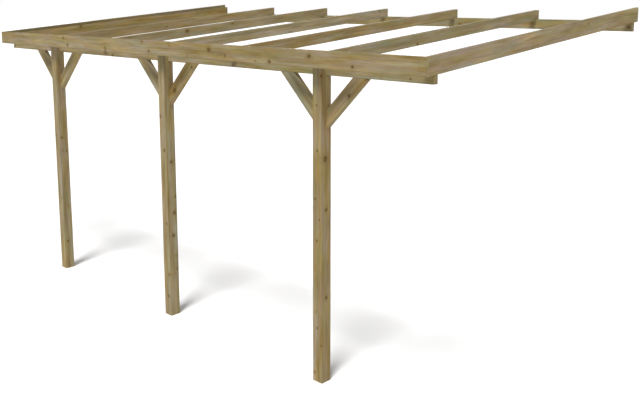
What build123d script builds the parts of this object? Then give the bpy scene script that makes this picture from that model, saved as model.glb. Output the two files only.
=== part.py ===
from build123d import *
import os
from math import cos, radians, sin, tan

# Lean-to carport as an open timber frame, in millimetres.
# The frame's origin is on the wall: the middle of the wall beam's back face.
# +X runs along the beams, +Y points into the wall, +Z is up.

# Planed timber
post_width = 90
beam_thickness = 45
beam_width = 90
rafter_thickness = 45
rafter_width = 90
brace_thickness = 45
brace_width = 90
board_thickness = 28
board_width = 120
eased_edge = 3

# Layout
rafter_count = 7
rafter_spacing = 900
rafters_per_post = 2
first_post_rafter = 1
roof_depth = 3030
front_overhang = 69
roof_pitch = 5.07
front_beam_underside = 2208
brace_reach = 360
brace_angle = 45

# The rafters stop this far behind the front board, which is screwed up to them
rafter_end_gap = 0.5

# How deep the rafters are cut over each beam, measured at the beam's front face
front_seat_depth = 28
wall_seat_depth = 10

# Places along Y, from the wall face at 0 towards the front
board_front_y = -roof_depth
board_back_y = board_front_y + board_thickness
post_front_y = board_front_y + front_overhang
post_back_y = post_front_y + post_width
front_beam_y = post_back_y - beam_thickness
wall_beam_y = -beam_thickness

# Places along X
half_span = (rafter_count - 1) * rafter_spacing / 2
rafter_xs = [i * rafter_spacing - half_span for i in range(rafter_count)]
post_xs = rafter_xs[first_post_rafter::rafters_per_post]
frame_length = 2 * half_span + rafter_thickness

# Heights above the ground
slope = tan(radians(roof_pitch))
front_beam_top = front_beam_underside + beam_width


def rafter_underside(y):
    """Height of the rafters' underside above the ground, at a place along Y."""
    return front_beam_top - front_seat_depth + (y - front_beam_y) * slope


wall_beam_top = rafter_underside(wall_beam_y) + wall_seat_depth
wall_beam_underside = wall_beam_top - beam_width

# The origin's height above the ground turns heights into Z
origin_height = wall_beam_top - beam_width / 2

# Pieces that are trimmed to length start longer by this much at each end
trim = 200


def at_height(height):
    return height - origin_height


def timber(size_x, size_y, size_z):
    """A planed length whose four long edges are eased, centred on the origin."""
    long_axis = max((size_x, Axis.X), (size_y, Axis.Y), (size_z, Axis.Z), key=lambda side: side[0])[1]
    piece = Box(size_x, size_y, size_z)
    return fillet(piece.edges().filter_by(long_axis), eased_edge)


def block(x, y, z):
    """A plain box between two limits on each axis."""
    size = [limits[1] - limits[0] for limits in (x, y, z)]
    middle = [(limits[0] + limits[1]) / 2 for limits in (x, y, z)]
    return Pos(*middle) * Box(*size)


def make_beam(y, underside):
    middle_z = at_height(underside + beam_width / 2)
    return Pos(0, y + beam_thickness / 2, middle_z) * timber(frame_length, beam_thickness, beam_width)


def make_sloped(thickness, width, x, front_y):
    """A length on edge whose underside lies on the rafters' underside, plumb-cut at both ends."""
    length = roof_depth + 2 * trim
    bar = Pos(0, 0, width / 2) * timber(thickness, length, width)
    middle_y = front_y / 2
    bar = Pos(x, middle_y, at_height(rafter_underside(middle_y))) * Rot(X=roof_pitch) * bar
    plumb = block((x - thickness, x + thickness), (front_y, 0), (-origin_height, origin_height))
    return bar & plumb


def make_rafter(x):
    """A rafter with a level seat cut over each beam."""
    rafter = make_sloped(rafter_thickness, rafter_width, x, board_back_y + rafter_end_gap)
    across = (x - rafter_thickness, x + rafter_thickness)
    for y, top in ((front_beam_y, front_beam_top), (wall_beam_y, wall_beam_top)):
        rafter -= block(across, (y, y + beam_thickness), (at_height(top - beam_width), at_height(top)))
    return rafter


def make_side_board(side):
    x = side * (half_span + rafter_thickness / 2 + board_thickness / 2)
    return make_sloped(board_thickness, board_width, x, board_back_y)


def make_front_board():
    length = frame_length + 2 * board_thickness
    middle_y = board_front_y + board_thickness / 2
    middle_z = at_height(rafter_underside(board_back_y) + board_width / 2)
    return Pos(0, middle_y, middle_z) * timber(length, board_thickness, board_width)


def make_post(x):
    """A post whose back half is cut away for the beam and whose front half meets the rafter."""
    height = front_beam_top + trim
    middle_y = post_front_y + post_width / 2
    post = Pos(x, middle_y, at_height(height / 2)) * timber(post_width, post_width, height)
    across = (x - post_width, x + post_width)
    up = (at_height(front_beam_underside), at_height(height))
    post -= block(across, (front_beam_y, post_back_y + trim), up)
    top_z = at_height(rafter_underside(post_front_y))
    top = Plane(origin=(x, post_front_y, top_z), x_dir=(1, 0, 0), z_dir=(0, -slope, 1))
    return split(post, bisect_by=top, keep=Keep.BOTTOM)


def make_brace(post_x, side):
    """A knee brace between a post's side face and the front beam's underside."""
    corner_x = post_x + side * post_width / 2
    corner_z = at_height(front_beam_underside)
    middle_x = corner_x + side * brace_reach / 2 - side * sin(radians(brace_angle)) * brace_width / 2
    middle_z = corner_z - brace_reach / 2 + cos(radians(brace_angle)) * brace_width / 2
    middle_y = front_beam_y + brace_thickness / 2
    bar = timber(2 * brace_reach + 2 * trim, brace_thickness, brace_width)
    bar = Pos(middle_x, middle_y, middle_z) * Rot(Y=-side * brace_angle) * bar
    x_limits = sorted((corner_x, corner_x + side * (brace_reach + trim)))
    z_limits = (corner_z - brace_reach - trim, corner_z)
    room = block(x_limits, (post_front_y, post_back_y + trim), z_limits)
    return bar & room


parts = {}
for number, x in enumerate(post_xs, start=1):
    parts[f"post_{number}"] = make_post(x)
    parts[f"brace_{number}_left"] = make_brace(x, -1)
    parts[f"brace_{number}_right"] = make_brace(x, 1)
parts["front_beam"] = make_beam(front_beam_y, front_beam_underside)
parts["wall_beam"] = make_beam(wall_beam_y, wall_beam_underside)
for number, x in enumerate(rafter_xs, start=1):
    parts[f"rafter_{number}"] = make_rafter(x)
parts["front_board"] = make_front_board()
parts["side_board_left"] = make_side_board(-1)
parts["side_board_right"] = make_side_board(1)

os.makedirs("parts", exist_ok=True)
for name, shape in parts.items():
    export_step(shape, f"parts/{name}.step")
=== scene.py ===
from math import cos, pi, radians, sin, tan

import bmesh
import bpy
from mathutils import Euler, Matrix, Vector


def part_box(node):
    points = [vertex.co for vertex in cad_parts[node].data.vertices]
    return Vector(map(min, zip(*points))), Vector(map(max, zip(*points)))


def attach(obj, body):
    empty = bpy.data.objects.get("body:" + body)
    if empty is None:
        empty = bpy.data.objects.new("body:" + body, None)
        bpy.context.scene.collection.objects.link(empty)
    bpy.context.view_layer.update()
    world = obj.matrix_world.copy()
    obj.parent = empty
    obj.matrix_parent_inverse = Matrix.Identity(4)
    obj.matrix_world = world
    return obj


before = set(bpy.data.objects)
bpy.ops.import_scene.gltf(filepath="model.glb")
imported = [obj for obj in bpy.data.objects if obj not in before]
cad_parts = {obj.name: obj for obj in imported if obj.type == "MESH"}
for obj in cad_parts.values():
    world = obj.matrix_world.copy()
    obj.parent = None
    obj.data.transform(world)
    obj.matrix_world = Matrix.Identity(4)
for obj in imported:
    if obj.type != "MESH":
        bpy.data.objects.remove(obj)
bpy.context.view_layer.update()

print("frame loaded:", len(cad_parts), "timbers")

# The camera, fitted to the photograph. The photograph's own camera is level and its lens is shifted
# down by a third of the picture's width; here it looks down instead, so that less shift is needed,
# and the posts on the left lean a little
cameraSetup = {
    "place": (5.5136, -6.8330, 0.2205),
    "turn": 43.607,           # degrees to the left of +Y
    "tilt": 9.012,            # degrees down
    "focus": 796.16,          # focal length in pixels of the picture
    "pictureWidth": 640,
    "shiftY": -0.115,
    "sensorWidth": 36,
    "farthest": 500,
}

# Light: a big soft sky, a soft sun from the front right, a white floor
lightSetup = {
    "sky": 0.275,
    "skyRight": 0.4,                # how much brighter the sky is towards +X
    "sun": 2.88,
    "sunSize": 16.0,                # degrees across
    "toSun": (0.185, -0.445, 1.0),
    "fill": 0.9,                    # a weak lamp without shadows, for the sides away from the sun
    "toFill": (-1.0, 1.1, 0.06),
    "floorBounce": 0.55,            # how much light the floor gives back to the timber
    "floorSeen": 1.10,              # its colour as the camera sees it
    "floorSize": 90.0,
}


def putValue(tree, socket, value):
    if isinstance(value, bpy.types.NodeSocket):
        tree.links.new(value, socket)
    else:
        socket.default_value = value


def addNode(tree, kind, values=None, **settings):
    node = tree.nodes.new(kind)
    for name, value in settings.items():
        setattr(node, name, value)
    for key, value in (values or {}).items():
        putValue(tree, node.inputs[key], value)
    return node


def calc(tree, operation, *values, clamp=False):
    node = addNode(tree, "ShaderNodeMath", operation=operation, use_clamp=clamp)
    for socket, value in zip(node.inputs, values):
        putValue(tree, socket, value)
    return node.outputs[0]


def vectorCalc(tree, operation, *values):
    node = addNode(tree, "ShaderNodeVectorMath", operation=operation)
    for socket, value in zip(node.inputs, values):
        putValue(tree, socket, value)
    return node.outputs["Value" if operation in ("LENGTH", "DOT_PRODUCT", "DISTANCE") else "Vector"]


def remap(tree, value, fromLow, fromHigh, toLow=0.0, toHigh=1.0, smooth=True):
    node = addNode(tree, "ShaderNodeMapRange", {
        "Value": value, "From Min": fromLow, "From Max": fromHigh, "To Min": toLow, "To Max": toHigh,
    }, interpolation_type="SMOOTHSTEP" if smooth else "LINEAR")
    return node.outputs["Result"]


def mixColour(tree, factor, first, second, blend="MIX"):
    node = addNode(tree, "ShaderNodeMix", data_type="RGBA", blend_type=blend)
    for socket, value in ((node.inputs[0], factor), (node.inputs[6], first), (node.inputs[7], second)):
        putValue(tree, socket, value)
    return node.outputs[2]


def noise(tree, vector, scale, detail=2.0, rough=0.5, output="Fac"):
    node = addNode(tree, "ShaderNodeTexNoise", {
        "Vector": vector, "Scale": scale, "Detail": detail, "Roughness": rough,
    }, noise_dimensions="3D")
    return node.outputs[output]


def lineNoise(tree, place, scale, detail=2.0):
    node = addNode(tree, "ShaderNodeTexNoise", {"W": place, "Scale": scale, "Detail": detail},
                   noise_dimensions="1D")
    return node.outputs["Fac"]


def newGroup(name, inputs, outputs):
    tree = bpy.data.node_groups.new(name, "ShaderNodeTree")
    kinds = {"value": "NodeSocketFloat", "vector": "NodeSocketVector", "colour": "NodeSocketColor"}
    for socketName, kind, start in inputs:
        socket = tree.interface.new_socket(name=socketName, in_out="INPUT", socket_type=kinds[kind])
        socket.default_value = start
    for socketName, kind in outputs:
        tree.interface.new_socket(name=socketName, in_out="OUTPUT", socket_type=kinds[kind])
    source = tree.nodes.new("NodeGroupInput")
    target = tree.nodes.new("NodeGroupOutput")
    return tree, source.outputs, target.inputs


def useGroup(tree, group, values):
    node = addNode(tree, "ShaderNodeGroup", node_tree=group)
    for key, value in values.items():
        putValue(tree, node.inputs[key], value)
    return node


farAway = 100.0      # in knot radii: no knot is near


def makeKnotSpot():
    # How far a point is from one knot, in knot radii; the nearest of a chain of knots is kept
    tree, given, result = newGroup("knotSpot", [
        ("Vector", "vector", (0, 0, 0)), ("Nearest", "value", farAway),
        ("Place", "vector", (0, 0, 0)), ("Reach", "vector", (100, 100, 100)),
    ], [("Nearest", "value")])
    offset = vectorCalc(tree, "SUBTRACT", given["Vector"], given["Place"])
    distance = vectorCalc(tree, "LENGTH", vectorCalc(tree, "MULTIPLY", offset, given["Reach"]))
    tree.links.new(calc(tree, "MINIMUM", given["Nearest"], distance), result["Nearest"])
    return tree


strayKnotSetup = {
    "perMetre": (2.2, 7.0, 7.0),      # along the timber and across it
    "scatter": 0.9,
    "size": 0.0065,                   # the usual radius
    "sizes": (0.35, 1.5),             # the smallest and the largest, as shares of it
}


def makeStrayKnots():
    # Knots that fall where they may, one in each stretch of timber
    tree, given, result = newGroup("strayKnots", [
        ("Vector", "vector", (0, 0, 0)), ("Nearest", "value", farAway), ("Size", "value", 0.01),
        ("Spread", "vector", strayKnotSetup["perMetre"]),
    ], [("Nearest", "value")])
    scaled = vectorCalc(tree, "MULTIPLY", given["Vector"], given["Spread"])
    cells = addNode(tree, "ShaderNodeTexVoronoi", {
        "Vector": scaled, "Scale": 1.0, "Randomness": strayKnotSetup["scatter"],
    }, voronoi_dimensions="3D", feature="F1")
    offset = vectorCalc(tree, "SUBTRACT", scaled, cells.outputs["Position"])
    offset = vectorCalc(tree, "DIVIDE", offset, given["Spread"])
    colour = addNode(tree, "ShaderNodeSeparateColor", {"Color": cells.outputs["Color"]})
    share = remap(tree, colour.outputs[0], 0, 1, *strayKnotSetup["sizes"], False)
    size = calc(tree, "MULTIPLY", given["Size"], share)
    distance = calc(tree, "DIVIDE", vectorCalc(tree, "LENGTH", offset), size)
    tree.links.new(calc(tree, "MINIMUM", given["Nearest"], distance), result["Nearest"])
    return tree


grainSetup = {
    "wanderScale": (0.9, 3.0, 3.0),       # how fast the pith strays, along and across the timber
    "knotBend": 0.011,                    # how far the rings are bent out beside a knot
    "knotBendReach": (0.8, 3.6),          # in knot radii
    "unevenScale": 0.31,                  # rings differ in width
    "uneven": 2.4,
    "lateWood": (0.25, 0.86),             # where in a ring the late wood starts and is darkest
    "ringEnd": (0.9, 1.0),                # where it stops
    "ringDepthScale": 0.77,               # rings differ in depth
    "palestRing": 0.45,
    "fibreScale": (5.0, 330.0, 330.0),
    "streakScale": (0.75, 75.0, 1.6),     # along the timber, away from the pith and round it
    "patchShift": (3.1, 5.7, 9.2),
    "patchScale": (2.8, 24.0, 24.0),
    "heartEdge": (0.030, 0.052),          # distances from the pith where the heartwood fades
}


def makeGrain():
    # Growth rings round a pith, bent round the knots, and the fibres and streaks along them
    tree, given, result = newGroup("grain", [
        ("Vector", "vector", (0, 0, 0)), ("Pith", "vector", (0, 0, 0)), ("Ring Width", "value", 0.0035),
        ("Wander", "value", 0.02), ("Nearest Knot", "value", farAway),
    ], [("Rings", "value"), ("Fibres", "value"), ("Streaks", "value"), ("Patches", "colour"),
        ("Heart", "value")])
    vector, pith = given["Vector"], given["Pith"]
    drift = noise(tree, vectorCalc(tree, "MULTIPLY", vector, grainSetup["wanderScale"]), 1.0, output="Color")
    drift = vectorCalc(tree, "SUBTRACT", drift, (0.5, 0.5, 0.5))
    scaled = addNode(tree, "ShaderNodeVectorMath", {0: drift}, operation="SCALE")
    putValue(tree, scaled.inputs["Scale"], given["Wander"])
    drift = scaled.outputs[0]
    across = vectorCalc(tree, "ADD", vectorCalc(tree, "SUBTRACT", vector, pith), drift)
    across = vectorCalc(tree, "MULTIPLY", across, (0, 1, 1))
    radius = vectorCalc(tree, "LENGTH", across)
    bend = remap(tree, given["Nearest Knot"], *grainSetup["knotBendReach"], grainSetup["knotBend"], 0.0)
    bent = calc(tree, "ADD", radius, bend)
    count = calc(tree, "DIVIDE", bent, given["Ring Width"])
    uneven = lineNoise(tree, count, grainSetup["unevenScale"], 1.0)
    count = calc(tree, "ADD", count, calc(tree, "MULTIPLY", uneven, grainSetup["uneven"]))
    part = calc(tree, "FRACT", count)
    rise = remap(tree, part, *grainSetup["lateWood"])
    fall = remap(tree, part, *grainSetup["ringEnd"], 1.0, 0.0)
    late = calc(tree, "MULTIPLY", rise, fall)
    depth = lineNoise(tree, calc(tree, "FLOOR", count), grainSetup["ringDepthScale"])
    depth = remap(tree, depth, 0.3, 0.7, grainSetup["palestRing"], 1.0)
    tree.links.new(calc(tree, "MULTIPLY", late, depth), result["Rings"])
    fine = vectorCalc(tree, "MULTIPLY", vectorCalc(tree, "ADD", vector, drift), grainSetup["fibreScale"])
    tree.links.new(noise(tree, fine, 1.0, 3.0, 0.6), result["Fibres"])
    # Streaks follow the rings: their place is given by the radius and the turn about the pith
    parts = addNode(tree, "ShaderNodeSeparateXYZ", {"Vector": across})
    turn = calc(tree, "ARCTAN2", parts.outputs["Z"], parts.outputs["Y"])
    along = addNode(tree, "ShaderNodeSeparateXYZ", {"Vector": vector}).outputs["X"]
    alongScale, outScale, roundScale = grainSetup["streakScale"]
    polar = addNode(tree, "ShaderNodeCombineXYZ", {
        "X": calc(tree, "MULTIPLY", along, alongScale), "Y": calc(tree, "MULTIPLY", bent, outScale),
        "Z": calc(tree, "MULTIPLY", turn, roundScale),
    }).outputs[0]
    tree.links.new(noise(tree, polar, 1.0, 3.0, 0.62), result["Streaks"])
    # Patches that differ in tone, depth of colour and warmth, one to a channel
    patchy = vectorCalc(tree, "ADD", vector, grainSetup["patchShift"])
    patchy = vectorCalc(tree, "MULTIPLY", patchy, grainSetup["patchScale"])
    tree.links.new(noise(tree, patchy, 1.0, 3.0, 0.62, output="Color"), result["Patches"])
    heart = calc(tree, "ADD", bent, calc(tree, "MULTIPLY", given["Wander"], noise(tree, patchy, 1.0, 1.0)))
    tree.links.new(remap(tree, heart, *grainSetup["heartEdge"], 1.0, 0.0), result["Heart"])
    return tree


def makeEasedEdge():
    # Wear along the long edges of a section of the given half width and half height
    tree, given, result = newGroup("easedEdge", [
        ("Vector", "vector", (0, 0, 0)), ("Half Section", "vector", (1, 0.045, 0.045)),
        ("Width", "value", 0.006),
    ], [("Edge", "value")])
    size = addNode(tree, "ShaderNodeVectorMath", {0: given["Vector"]}, operation="ABSOLUTE").outputs[0]
    inset = addNode(tree, "ShaderNodeSeparateXYZ",
                    {"Vector": vectorCalc(tree, "SUBTRACT", given["Half Section"], size)})
    away = calc(tree, "MAXIMUM", inset.outputs["Y"], inset.outputs["Z"])
    away = calc(tree, "DIVIDE", away, given["Width"])
    tree.links.new(remap(tree, away, 0.0, 1.0, 1.0, 0.0), result["Edge"])
    return tree


pineSetup = {
    "early": (0.394, 0.306, 0.160, 1),
    "late": (0.279, 0.205, 0.094, 1),
    "heart": (0.372, 0.256, 0.110, 1),
    "knotHalo": (0.262, 0.158, 0.036, 1),
    "knotCore": (0.145, 0.082, 0.015, 1),
    "knotRim": (0.062, 0.034, 0.010, 1),
    "paintedTopShade": (0.60, 0.61, 0.68, 1),     # painted shade on the upper faces, so that the light from above leaves them no lighter than the sides
    "sawn": (1.20, 1.24, 1.36, 1),          # a cut end is paler and greyer
    "ringShare": 0.55,                      # how much of each colour is mixed in
    "heartShare": 0.5,
    "haloShare": 0.5,
    "coreShare": 0.85,
    "rimShare": 0.45,
    "streakTone": (0.84, 1.16),             # the darkest and the lightest
    "fibreTone": (0.90, 1.10),
    "patchTone": (0.64, 1.36),
    "patchDepth": (-0.33, 0.47),
    "patchWarmth": (-0.14, 0.14),
    "timberDepth": 0.25,                    # how much a timber's own depth and warmth count
    "timberWarmth": 0.08,
    "depthWarmth": 0.10,                    # deeper colour is also warmer
    "redPower": 0.80,                       # red follows the tone less than green does
    "bluePower": 1.75,                      # and blue more
    "wornEdge": 0.77,
    "roughness": (0.74, 0.62),              # early wood and late wood
    "sawnRoughness": 0.12,
}


def makeTreatedPine():
    # Colour, roughness and height of planed pine after green pressure impregnation
    tree, given, result = newGroup("treatedPine", [
        ("Rings", "value", 0), ("Fibres", "value", 0.5), ("Streaks", "value", 0.5),
        ("Patches", "colour", (0.5, 0.5, 0.5, 1)), ("Heart", "value", 0),
        ("Nearest Knot", "value", farAway), ("Edge", "value", 0), ("End Grain", "value", 0),
        ("Upper", "value", 0), ("Bright", "value", 1.0), ("Warm", "value", 0), ("Deep", "value", 0),
    ], [("Color", "colour"), ("Roughness", "value"), ("Height", "value")])
    ringShare = calc(tree, "MULTIPLY", given["Rings"], pineSetup["ringShare"])
    colour = mixColour(tree, ringShare, pineSetup["early"], pineSetup["late"])
    heartShare = calc(tree, "MULTIPLY", given["Heart"], pineSetup["heartShare"])
    colour = mixColour(tree, heartShare, colour, pineSetup["heart"])
    patch = addNode(tree, "ShaderNodeSeparateColor", {"Color": given["Patches"]}).outputs
    tone = remap(tree, given["Streaks"], 0.28, 0.72, *pineSetup["streakTone"], False)
    fibreTone = remap(tree, given["Fibres"], 0.3, 0.7, *pineSetup["fibreTone"], False)
    tone = calc(tree, "MULTIPLY", tone, fibreTone)
    patchTone = remap(tree, patch[0], 0.25, 0.75, *pineSetup["patchTone"], False)
    tone = calc(tree, "MULTIPLY", tone, patchTone)
    # Deeper colour has less blue in it, and warmer colour more red; dark wood is both
    depth = remap(tree, patch[1], 0.25, 0.75, *pineSetup["patchDepth"], False)
    deep = calc(tree, "ADD", depth, calc(tree, "MULTIPLY", given["Deep"], pineSetup["timberDepth"]))
    warm = calc(tree, "ADD", remap(tree, patch[2], 0.25, 0.75, *pineSetup["patchWarmth"], False),
                calc(tree, "MULTIPLY", depth, pineSetup["depthWarmth"]))
    warm = calc(tree, "ADD", warm, calc(tree, "MULTIPLY", given["Warm"], pineSetup["timberWarmth"]))
    red = calc(tree, "POWER", tone, pineSetup["redPower"])
    blue = calc(tree, "POWER", tone, pineSetup["bluePower"])
    tint = addNode(tree, "ShaderNodeCombineColor", {
        0: calc(tree, "MULTIPLY", red, calc(tree, "ADD", 1.0, warm)),
        1: tone,
        2: calc(tree, "MULTIPLY", blue, calc(tree, "SUBTRACT", 1.0, deep)),
    }).outputs[0]
    colour = mixColour(tree, 1.0, colour, tint, "MULTIPLY")
    wear = remap(tree, given["Edge"], 0, 1, 1.0, pineSetup["wornEdge"], False)
    light = calc(tree, "MULTIPLY", given["Bright"], wear)
    colour = mixColour(tree, 1.0, colour, light, "MULTIPLY")
    sawn = mixColour(tree, 1.0, colour, pineSetup["sawn"], "MULTIPLY")
    colour = mixColour(tree, given["End Grain"], colour, sawn)
    nearest = given["Nearest Knot"]
    halo = remap(tree, nearest, 0.9, 3.4, pineSetup["haloShare"], 0.0)
    colour = mixColour(tree, halo, colour, pineSetup["knotHalo"])
    core = remap(tree, nearest, 0.80, 1.10, 1.0, 0.0)
    coreShare = calc(tree, "MULTIPLY", core, pineSetup["coreShare"])
    colour = mixColour(tree, coreShare, colour, pineSetup["knotCore"])
    rim = remap(tree, nearest, 0.72, 0.92)
    rim = calc(tree, "MULTIPLY", rim, remap(tree, nearest, 0.98, 1.15, 1.0, 0.0))
    rimShare = calc(tree, "MULTIPLY", rim, pineSetup["rimShare"])
    colour = mixColour(tree, rimShare, colour, pineSetup["knotRim"])
    # Upper faces get painted shade: darker and a little greyer, against the light from above
    paintedTopShade = mixColour(tree, 1.0, colour, pineSetup["paintedTopShade"], "MULTIPLY")
    colour = mixColour(tree, given["Upper"], colour, paintedTopShade)
    tree.links.new(colour, result["Color"])
    rough = remap(tree, given["Rings"], 0, 1, *pineSetup["roughness"], False)
    sawnRough = calc(tree, "MULTIPLY", given["End Grain"], pineSetup["sawnRoughness"])
    tree.links.new(calc(tree, "ADD", rough, sawnRough), result["Roughness"])
    height = calc(tree, "MULTIPLY", given["Rings"], 0.5)
    height = calc(tree, "ADD", height, calc(tree, "MULTIPLY", given["Fibres"], 0.5))
    height = calc(tree, "ADD", height, calc(tree, "MULTIPLY", core, 0.5))
    tree.links.new(height, result["Height"])
    return tree


knotSpot = makeKnotSpot()
strayKnots = makeStrayKnots()
grain = makeGrain()
easedEdge = makeEasedEdge()
treatedPine = makeTreatedPine()
print("shared wood effects made")


# Along each timber the material's own X runs with the grain
quarter = pi / 2
pitch = radians(5.07)
turns = {
    "beam": (0, 0, 0),
    "post": (0, -quarter, 0),
    "rafter": (0, -pitch, quarter),
    "braceRight": (0, -pi / 4, 0),
    "braceLeft": (0, pi / 4, 0),
}


woodSetup = {
    "stretch": 7.3,             # between the stretches of wood that the timbers are cut from
    "ringWidth": 0.0036,
    "knotAlong": 0.85,          # a knot is longer along the grain, and runs deep into the wood
    "knotInwards": 0.3,
    "raggedScale": 90.0,        # a knot's outline is never quite round
    "ragged": (0.82, 1.2),
    "endFacing": (0.6, 0.85),   # how squarely a face cuts the grain, from none to all end grain
    "upFacing": (0.6, 0.95),
    "bump": 0.35,
    "bumpHeight": 0.0008,
    "shine": 0.35,
}


def timberMaterial(name, timber):
    low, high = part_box(name)
    centre = (low + high) / 2
    turn = turns[timber["turn"]]
    half = timber["half"]
    material = bpy.data.materials.new(name + "Pine")
    material.use_nodes = True
    tree = material.node_tree
    tree.nodes.clear()
    output = tree.nodes.new("ShaderNodeOutputMaterial")
    coords = addNode(tree, "ShaderNodeTexCoord")
    local = addNode(tree, "ShaderNodeMapping", {
        "Vector": coords.outputs["Object"], "Location": centre, "Rotation": turn,
    }, vector_type="TEXTURE").outputs[0]
    start = timber["seed"] * woodSetup["stretch"]
    wood = vectorCalc(tree, "ADD", local, (start, 0, 0))
    nearest = useGroup(tree, strayKnots, {"Vector": wood, "Size": strayKnotSetup["size"]}).outputs[0]
    longways, inwards = woodSetup["knotAlong"], woodSetup["knotInwards"]
    spots = [((along, -half[1], across), (longways, inwards, 1.0), radius)
             for along, across, radius in timber["knots"]]
    spots += [((along, across, -half[2]), (longways, 1.0, inwards), radius)
              for along, across, radius in timber["sideKnots"]]
    for place, shares, radius in spots:
        nearest = useGroup(tree, knotSpot, {
            "Vector": local, "Nearest": nearest, "Place": place,
            "Reach": [share / radius for share in shares],
        }).outputs[0]
    ragged = noise(tree, wood, woodSetup["raggedScale"], 1.0)
    ragged = remap(tree, ragged, 0.3, 0.7, *woodSetup["ragged"], False)
    nearest = calc(tree, "MULTIPLY", nearest, ragged)
    rings = useGroup(tree, grain, {
        "Vector": wood, "Pith": (start, *timber["pith"]), "Ring Width": woodSetup["ringWidth"],
        "Nearest Knot": nearest,
    }).outputs
    edge = useGroup(tree, easedEdge, {"Vector": local, "Half Section": half}).outputs[0]
    alongGrain = Euler(turn).to_matrix() @ Vector((1, 0, 0))
    facing = calc(tree, "ABSOLUTE", vectorCalc(tree, "DOT_PRODUCT", coords.outputs["Normal"], alongGrain))
    ends = remap(tree, facing, *woodSetup["endFacing"])
    # Faces that look up are the ones that get the painted shade
    facingUp = vectorCalc(tree, "DOT_PRODUCT", coords.outputs["Normal"], (0, 0, 1))
    look = useGroup(tree, treatedPine, {
        "Rings": rings["Rings"], "Fibres": rings["Fibres"], "Streaks": rings["Streaks"],
        "Patches": rings["Patches"], "Heart": rings["Heart"], "Nearest Knot": nearest, "Edge": edge,
        "End Grain": ends, "Upper": remap(tree, facingUp, *woodSetup["upFacing"]),
        "Bright": timber["bright"], "Warm": timber["warm"], "Deep": timber["deep"],
    }).outputs
    bump = addNode(tree, "ShaderNodeBump", {
        "Strength": woodSetup["bump"], "Distance": woodSetup["bumpHeight"], "Height": look["Height"],
    })
    surface = addNode(tree, "ShaderNodeBsdfPrincipled", {
        "Base Color": look["Color"], "Roughness": look["Roughness"], "Normal": bump.outputs[0],
        "Specular IOR Level": woodSetup["shine"],
    })
    tree.links.new(surface.outputs[0], output.inputs["Surface"])
    return material


# Half the length, thickness and width of each kind of timber
postHalf = (1.137, 0.045, 0.045)
beamHalf = (2.7225, 0.0225, 0.045)
rafterHalf = (1.50, 0.0225, 0.045)
boardHalf = (2.75, 0.014, 0.06)
braceHalf = (0.25, 0.0225, 0.045)

postNumbers = range(1, 4)
rafterNumbers = range(1, 8)


def cutTimber(turn, half, seed, tones, pith, knots=(), sideKnots=()):
    # Tones are bright, warm and deep. Knots are given as (along, across, radius) on the face
    # towards -Y, or +X for a rafter; side knots lie on a post's face towards +X
    bright, warm, deep = tones
    return {
        "turn": turn, "half": half, "seed": seed, "bright": bright, "warm": warm, "deep": deep,
        "pith": pith, "knots": knots, "sideKnots": sideKnots,
    }


timbers = {
    "post_1": cutTimber(
        "post", postHalf, 1, (1.02, -0.1, -0.1), (0.01, -0.012),
        [(0.237, 0.030, 0.006), (-0.40, -0.02, 0.005)],
        [(-0.852, -0.012, 0.008), (-0.493, 0.012, 0.004), (0.22, -0.020, 0.008), (0.08, 0.020, 0.006)],
    ),
    "post_2": cutTimber(
        "post", postHalf, 2, (1.07, -0.4, -0.2), (-0.014, 0.008),
        [(0.612, 0.032, 0.010), (0.324, -0.011, 0.010), (-0.315, -0.011, 0.007),
         (-0.764, -0.030, 0.009), (-0.963, -0.011, 0.0095)],
        [(0.223, 0.001, 0.009), (-0.082, 0.032, 0.006), (-0.222, 0.016, 0.011),
         (-0.422, 0.001, 0.011), (-0.724, 0.030, 0.0055)],
    ),
    "post_3": cutTimber(
        "post", postHalf, 3, (0.94, 0.5, 0.3), (0.004, -0.016),
        [(0.868, 0.007, 0.005), (0.553, 0.002, 0.006), (0.213, 0.021, 0.006),
         (0.068, -0.017, 0.0045), (-0.086, 0.002, 0.006), (-0.728, 0.002, 0.006),
         (-0.850, -0.036, 0.006), (-1.069, 0.026, 0.006), (1.071, -0.036, 0.008)],
        [(0.500, -0.013, 0.017), (0.138, -0.003, 0.010), (-0.501, -0.003, 0.010)],
    ),
    "front_beam": cutTimber(
        "beam", beamHalf, 4, (1.05, -0.6, -0.15), (0.03, -0.05),
        [(0.873, -0.030, 0.007), (2.551, -0.022, 0.005), (-0.80, -0.034, 0.010)],
    ),
    "wall_beam": cutTimber(
        "beam", beamHalf, 5, (0.98, -0.6, 0.0), (0.045, 0.03),
        [(2.694, -0.008, 0.009), (0.981, -0.016, 0.010)],
    ),
    "front_board": cutTimber(
        "beam", boardHalf, 6, (0.97, 0.0, 0.0), (0.05, 0.01),
        [(-1.462, 0.034, 0.009), (-1.389, -0.029, 0.010), (-0.733, -0.030, 0.008),
         (-0.733, -0.048, 0.008), (-0.161, 0.047, 0.008), (-0.068, -0.029, 0.008),
         (0.725, 0.016, 0.017), (0.914, -0.020, 0.008), (1.251, -0.043, 0.0045),
         (1.399, -0.038, 0.012), (1.789, 0.017, 0.014), (2.176, -0.031, 0.010)],
    ),
    # The left side board is darker all over as painted shade, for the shade on its inner face above rafter_1
    "side_board_left": cutTimber("rafter", boardHalf, 7, (0.74, 0.0, 0.2), (0.04, -0.02)),
    "side_board_right": cutTimber(
        "rafter", boardHalf, 8, (1.03, 0.0, -0.2), (0.045, 0.015), [(-0.293, -0.050, 0.0045)],
    ),
}
rafterTones = {
    1: (0.84, 1.0, 0.8), 2: (0.93, 0.35, 0.2), 3: (1.0, -0.2, -0.2), 4: (1.13, -0.5, -0.6),
    5: (0.92, 0.35, 0.25), 6: (0.96, -0.5, -0.1), 7: (1.0, 0.0, 0.0),
}
rafterKnots = {
    1: [(-0.645, 0.036, 0.012)],
    2: [(-0.121, -0.007, 0.0065)],
    3: [(-0.519, 0.014, 0.015), (0.067, 0.026, 0.007)],
    6: [(0.809, 0.035, 0.005), (-0.375, -0.030, 0.008)],
}
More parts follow.
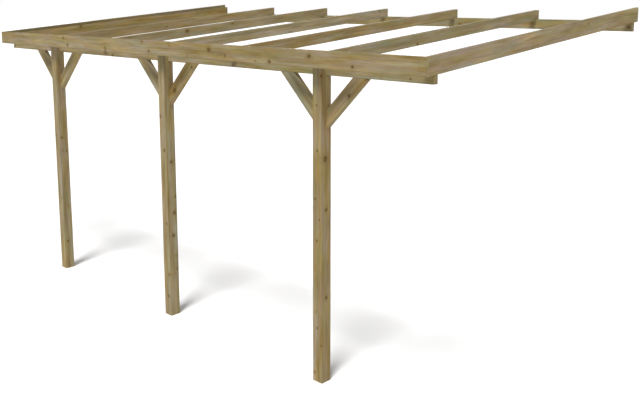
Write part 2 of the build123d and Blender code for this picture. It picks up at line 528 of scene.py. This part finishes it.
for number in rafterNumbers:
    pith = (0.035 - 0.012 * (number % 3), 0.02 * (number % 4) - 0.03)
    timbers[f"rafter_{number}"] = cutTimber(
        "rafter", rafterHalf, 10 + number, rafterTones[number], pith, rafterKnots.get(number, ()),
    )
# The braces' brightness is painted light that lifts them against the shadow the front board casts on them;
# their warmth and depth are their own colour
braceTonesAndPaintedLight = {
    "1_left": (1.2, -0.5, -0.3), "1_right": (1.2, 0.0, 0.0), "2_left": (1.25, -0.4, -0.3),
    "2_right": (1.1, 0.9, 0.5), "3_left": (1.22, -0.7, -0.35), "3_right": (1.1, -0.2, 0.15),
}
braceKnots = {
    "2_right": [(-0.113, 0.034, 0.018), (0.201, 0.012, 0.008)],
    "3_right": [(0.057, 0.026, 0.010), (0.246, 0.002, 0.007)],
}
for number in postNumbers:
    pith = (0.03, 0.03 - 0.02 * number)
    for side, turn, seed in (("left", "braceLeft", 21), ("right", "braceRight", 20)):
        brace = f"{number}_{side}"
        timbers[f"brace_{brace}"] = cutTimber(
            turn, braceHalf, seed + 2 * number, braceTonesAndPaintedLight[brace], pith, braceKnots.get(brace, ()),
        )

for name, timber in timbers.items():
    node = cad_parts[name]
    node.data.materials.clear()
    node.data.materials.append(timberMaterial(name, timber))
print("timber materials made:", len(timbers))


# Screws that hold the timbers together, sunk until only the head shows
screwSetup = {
    "sides": 12,
    "proud": 0.0002,          # how far a head's rim stands out of the timber, and how deep its foot is in it
    "dome": 0.00015,          # how much further its middle stands out
    "boardHead": 0.0040,      # radius
    "frameHead": 0.0055,
    "wallHead": 0.0080,
    "recess": 0.50,           # the recess's radius as a share of the head's
    "recessWall": 0.08,       # how far its wall slopes inwards, as the same share
    "recessDepth": 0.0002,    # less than a head stands out, so the timber doesn't show through it
    "recessShade": (0.045, 0.039, 0.030, 1),
    "recessRoughness": 0.8,
    "zinc": (0.40, 0.38, 0.34, 1),
    "dullZinc": (0.25, 0.22, 0.18, 1),
    "zincRoughness": (0.48, 0.66),
    "patchScale": 420.0,
    "metallic": 0.7,
    "boardRows": (0.022, 0.068),                                # heights above a board's underside
    "sideBoardPlaces": (0.05, 0.55, 1.25, 1.95, 2.55, 2.90),    # distances from the wall
    "beamRows": (0.028, 0.062),
    "postColumn": 0.024,      # from a post's middle
    "braceEnd": 0.060,        # from a brace's corner to its screw
}


def addScrewHead(shape, place, outwards, radius):
    # A round head with a shallow round recess, its underside just below the timber's face
    proud = screwSetup["proud"]
    at = Matrix.Translation(place) @ outwards.to_track_quat("Z", "Y").to_matrix().to_4x4()
    disc = bmesh.ops.create_circle(shape, cap_ends=True, radius=radius, segments=screwSetup["sides"],
                                   matrix=at @ Matrix.Translation((0, 0, -proud)))
    cap = disc["verts"][0].link_faces[0]
    if cap.normal.dot(outwards) < 0:
        bmesh.ops.reverse_faces(shape, faces=[cap])
    foot = bmesh.ops.extrude_face_region(shape, geom=[cap], use_keep_orig=True)["geom"]
    top = [part for part in foot if isinstance(part, bmesh.types.BMFace)][0]
    bmesh.ops.translate(shape, vec=outwards * 2 * proud, verts=top.verts[:])
    bmesh.ops.reverse_faces(shape, faces=[cap])
    bmesh.ops.inset_individual(shape, faces=[top], thickness=radius * (1 - screwSetup["recess"]),
                               depth=screwSetup["dome"])
    bmesh.ops.inset_individual(shape, faces=[top], thickness=radius * screwSetup["recessWall"],
                               depth=-screwSetup["recessDepth"])
    top.material_index = 1      # the recess's bottom


def makeRecessShade():
    # The bottom of a driver's recess, which little light reaches
    material = bpy.data.materials.new("driverRecess")
    material.use_nodes = True
    surface = material.node_tree.nodes["Principled BSDF"]
    surface.inputs["Base Color"].default_value = screwSetup["recessShade"]
    surface.inputs["Roughness"].default_value = screwSetup["recessRoughness"]
    return material


def makeScrewMetal():
    # Zinc that has dulled outdoors in patches
    material = bpy.data.materials.new("dullZinc")
    material.use_nodes = True
    tree = material.node_tree
    surface = tree.nodes["Principled BSDF"]
    coords = addNode(tree, "ShaderNodeTexCoord")
    patch = noise(tree, coords.outputs["Object"], screwSetup["patchScale"])
    colour = mixColour(tree, remap(tree, patch, 0.35, 0.65), screwSetup["zinc"], screwSetup["dullZinc"])
    tree.links.new(colour, surface.inputs["Base Color"])
    rough = remap(tree, patch, 0.3, 0.7, *screwSetup["zincRoughness"], False)
    tree.links.new(rough, surface.inputs["Roughness"])
    surface.inputs["Metallic"].default_value = screwSetup["metallic"]
    return material


def makeScrews(name, heads):
    shape = bmesh.new()
    for place, outwards, radius in heads:
        addScrewHead(shape, Vector(place), Vector(outwards).normalized(), radius)
    mesh = bpy.data.meshes.new(name)
    shape.to_mesh(mesh)
    shape.free()
    mesh.materials.append(screwMetal)
    mesh.materials.append(recessShade)
    screws = bpy.data.objects.new(name, mesh)
    bpy.context.scene.collection.objects.link(screws)
    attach(screws, "root")
    print(name, "made:", len(heads))


def middle(name):
    low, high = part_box(name)
    return (low + high) / 2


screwMetal = makeScrewMetal()
recessShade = makeRecessShade()
rafterXs = [middle(f"rafter_{number}").x for number in rafterNumbers]
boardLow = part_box("front_board")[0]
beamLow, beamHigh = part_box("front_beam")
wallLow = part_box("wall_beam")[0]
rise = tan(pitch)

front = (0, -1, 0)
boardHeads = []
radius = screwSetup["boardHead"]
for x in rafterXs:
    for row in screwSetup["boardRows"]:
        boardHeads.append(((x, boardLow.y, boardLow.z + row), front, radius))
for side, board in ((-1, "side_board_left"), (1, "side_board_right")):
    low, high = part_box(board)
    face = low.x if side < 0 else high.x
    foot = high.z - boardHalf[2] * 2 / cos(pitch)      # its underside at the wall
    for away in screwSetup["sideBoardPlaces"]:
        for row in screwSetup["boardRows"]:
            boardHeads.append(((face, -away, foot - away * rise + row), (side, 0, 0), radius))
    for row in screwSetup["boardRows"]:
        boardHeads.append(((middle(board).x, boardLow.y, boardLow.z + row), front, radius))
makeScrews("board_screws", boardHeads)

frameHeads = []
radius = screwSetup["frameHead"]
for number in postNumbers:
    x = middle(f"post_{number}").x
    for column in (-1, 1):
        for row in screwSetup["beamRows"]:
            place = (x + column * screwSetup["postColumn"], beamHigh.y, beamLow.z + row)
            frameHeads.append((place, (0, 1, 0), radius))
    for side, brace in ((-1, f"brace_{number}_left"), (1, f"brace_{number}_right")):
        low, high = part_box(brace)
        y = (low.y + high.y) / 2
        reach = high.x - low.x
        post = low.x if side > 0 else high.x
        # The two ends of the brace's outer face, which runs from the post's side to the beam's underside
        for along in (screwSetup["braceEnd"], reach - screwSetup["braceEnd"]):
            place = (post + side * along, y, low.z + along)
            frameHeads.append((place, (side, 0, -1), radius))
for x in rafterXs:
    for beam in ("front_beam", "wall_beam"):
        y = middle(beam).y
        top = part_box("rafter_1")[1].z + y * rise
        frameHeads.append(((x, y, top), (0, -sin(pitch), cos(pitch)), radius))
makeScrews("frame_screws", frameHeads)

wallHeads = []
for first, second in zip(rafterXs, rafterXs[1:]):
    place = ((first + second) / 2, wallLow.y, middle("wall_beam").z)
    wallHeads.append((place, front, screwSetup["wallHead"]))
makeScrews("wall_screws", wallHeads)


def seenDirectly(tree):
    # 1 where the camera looks, also in gloss or through glass
    path = tree.nodes.new("ShaderNodeLightPath")
    glossy = calc(tree, "MAXIMUM", path.outputs["Is Camera Ray"], path.outputs["Is Glossy Ray"])
    return calc(tree, "MAXIMUM", glossy, path.outputs["Is Transmission Ray"])


def grey(value):
    return (value, value, value, 1)


def makeFloor():
    mesh = bpy.data.meshes.new("floor")
    shape = bmesh.new()
    bmesh.ops.create_grid(shape, x_segments=1, y_segments=1, size=lightSetup["floorSize"])
    shape.to_mesh(mesh)
    shape.free()
    floor = bpy.data.objects.new("floor", mesh)
    floor.location.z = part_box("post_1")[0].z
    bpy.context.scene.collection.objects.link(floor)
    material = bpy.data.materials.new("paleFloor")
    material.use_nodes = True
    tree = material.node_tree
    surface = tree.nodes["Principled BSDF"]
    bounce, seen = grey(lightSetup["floorBounce"]), grey(lightSetup["floorSeen"])
    colour = mixColour(tree, seenDirectly(tree), bounce, seen)
    tree.links.new(colour, surface.inputs["Base Color"])
    surface.inputs["Roughness"].default_value = 1.0
    surface.inputs["Specular IOR Level"].default_value = 0.0
    mesh.materials.append(material)


def makeSky():
    world = bpy.data.worlds.new("softSky")
    bpy.context.scene.world = world
    world.use_nodes = True
    tree = world.node_tree
    tree.nodes.clear()
    output = tree.nodes.new("ShaderNodeOutputWorld")
    direction = tree.nodes.new("ShaderNodeTexCoord").outputs["Generated"]
    side = vectorCalc(tree, "DOT_PRODUCT", direction, (1, 0, 0))
    side = calc(tree, "MULTIPLY", side, lightSetup["skyRight"])
    strength = calc(tree, "MULTIPLY", calc(tree, "ADD", side, 1.0), lightSetup["sky"])
    sky = addNode(tree, "ShaderNodeBackground", {"Color": grey(1), "Strength": strength})
    white = addNode(tree, "ShaderNodeBackground", {"Color": grey(1), "Strength": 1.0})
    mix = addNode(tree, "ShaderNodeMixShader", {
        0: seenDirectly(tree), 1: sky.outputs[0], 2: white.outputs[0],
    })
    tree.links.new(mix.outputs[0], output.inputs["Surface"])


def makeSun(name, strength, towards, size, shadow=True):
    lamp = bpy.data.lights.new(name, "SUN")
    lamp.energy = strength
    lamp.angle = radians(size)
    lamp.use_shadow = shadow
    lamp.cycles.cast_shadow = shadow
    sun = bpy.data.objects.new(name, lamp)
    sun.rotation_euler = Vector(towards).to_track_quat("Z", "Y").to_euler()
    bpy.context.scene.collection.objects.link(sun)


def makeCamera():
    lens = bpy.data.cameras.new("camera")
    lens.sensor_fit = "HORIZONTAL"
    lens.sensor_width = cameraSetup["sensorWidth"]
    lens.lens = cameraSetup["focus"] * lens.sensor_width / cameraSetup["pictureWidth"]
    lens.shift_y = cameraSetup["shiftY"]
    lens.clip_end = cameraSetup["farthest"]
    camera = bpy.data.objects.new("camera", lens)
    camera.location = cameraSetup["place"]
    camera.rotation_euler = (quarter - radians(cameraSetup["tilt"]), 0, radians(cameraSetup["turn"]))
    bpy.context.scene.collection.objects.link(camera)
    bpy.context.scene.camera = camera


makeFloor()
makeSky()
makeSun("softSun", lightSetup["sun"], lightSetup["toSun"], lightSetup["sunSize"])
makeSun("backFill", lightSetup["fill"], lightSetup["toFill"], lightSetup["sunSize"], shadow=False)
makeCamera()
bpy.context.scene.view_settings.view_transform = "Standard"
print("floor, light and camera set")
